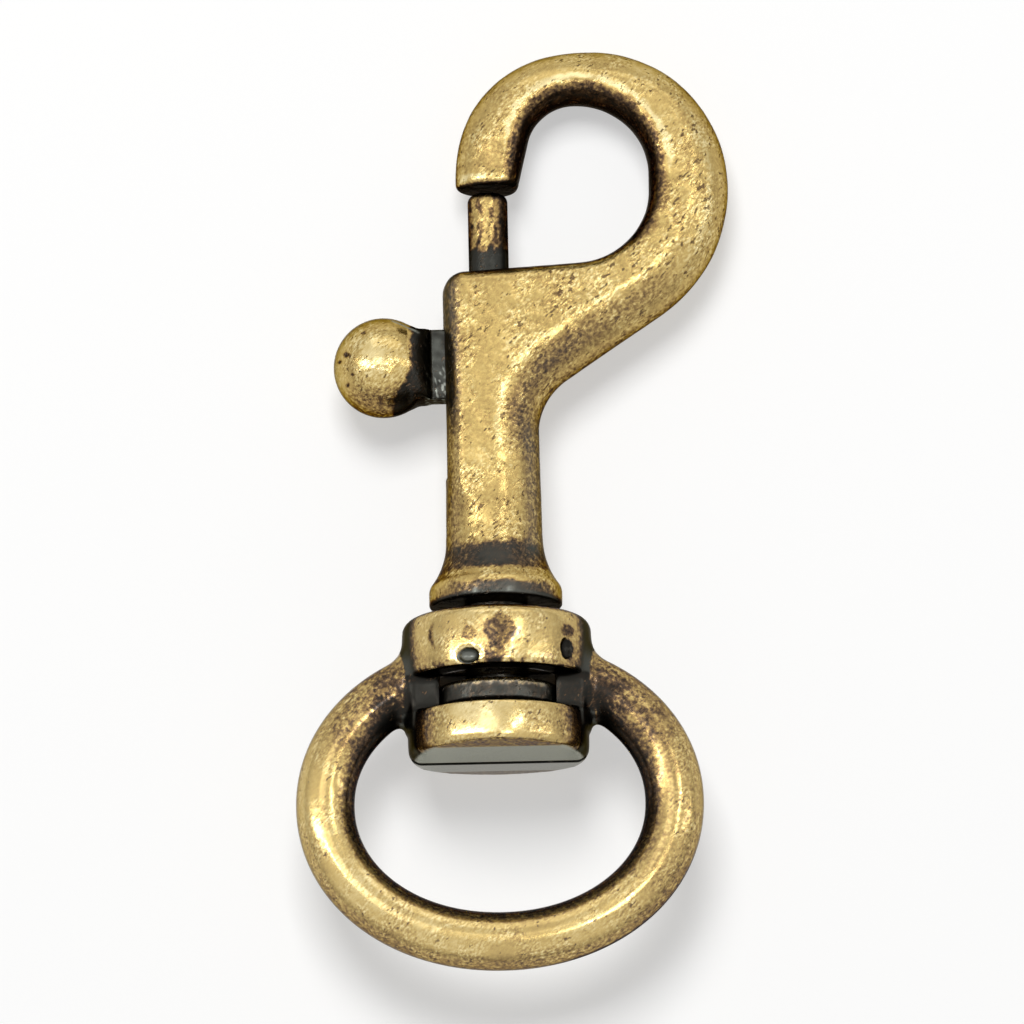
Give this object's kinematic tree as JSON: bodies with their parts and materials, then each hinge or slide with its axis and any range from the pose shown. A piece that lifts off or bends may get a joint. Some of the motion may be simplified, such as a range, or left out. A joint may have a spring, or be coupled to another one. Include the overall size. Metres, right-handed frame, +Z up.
{
  "type": "swivel bolt snap hook",
  "caption": "Cast swivel snap hook: sprung sliding bolt with a ball thumb knob closes the hook's mouth, and an oval strap eye swivels on a captive stud.",
  "frame": {"origin": "centre of the strap eye's oval opening, on the swivel axis and in the flat of the ring", "axes": "+Y along the swivel axis from the strap eye to the hook, +X to the side on which the hook bulges, +Z up out of the flat of the hook, as it lies face up"},
  "size_m": [0.0307, 0.0646, 0.013],
  "materials": {
    "cast_hook": "antique brass plate, rubbed back on the high spots",
    "bolt_rod": "antique brass plate, worn at the nose and dark below",
    "cast_knob": "antique brass plate, dark at the neck",
    "spring_wire": "drawn spring wire",
    "stud_pin": "dark antique brass plate",
    "cast_eye": "antique brass plate, rubbed back on the high spots"
  },
  "bodies": {
    "hook": {"hook_body": "cast_hook", "swivel_stud": "stud_pin", "bolt_spring": "spring_wire"},
    "bolt": {"gate_bolt": "bolt_rod", "thumb_knob": "cast_knob"},
    "eye": {"swivel_eye": "cast_eye"}
  },
  "joints": [
    {"name": "gate_slide", "type": "slide", "parent": "hook", "child": "bolt", "axis": [0, -1, 0], "range_m": [0, 0.0055], "stiffness_N_per_m": 300, "springref_m": -0.004, "deforming": ["bolt_spring"]},
    {"name": "eye_swivel", "type": "hinge", "parent": "hook", "child": "eye", "pos_m": [0, 0.011, 0], "axis": [0, 1, 0], "continuous": true}
  ]
}
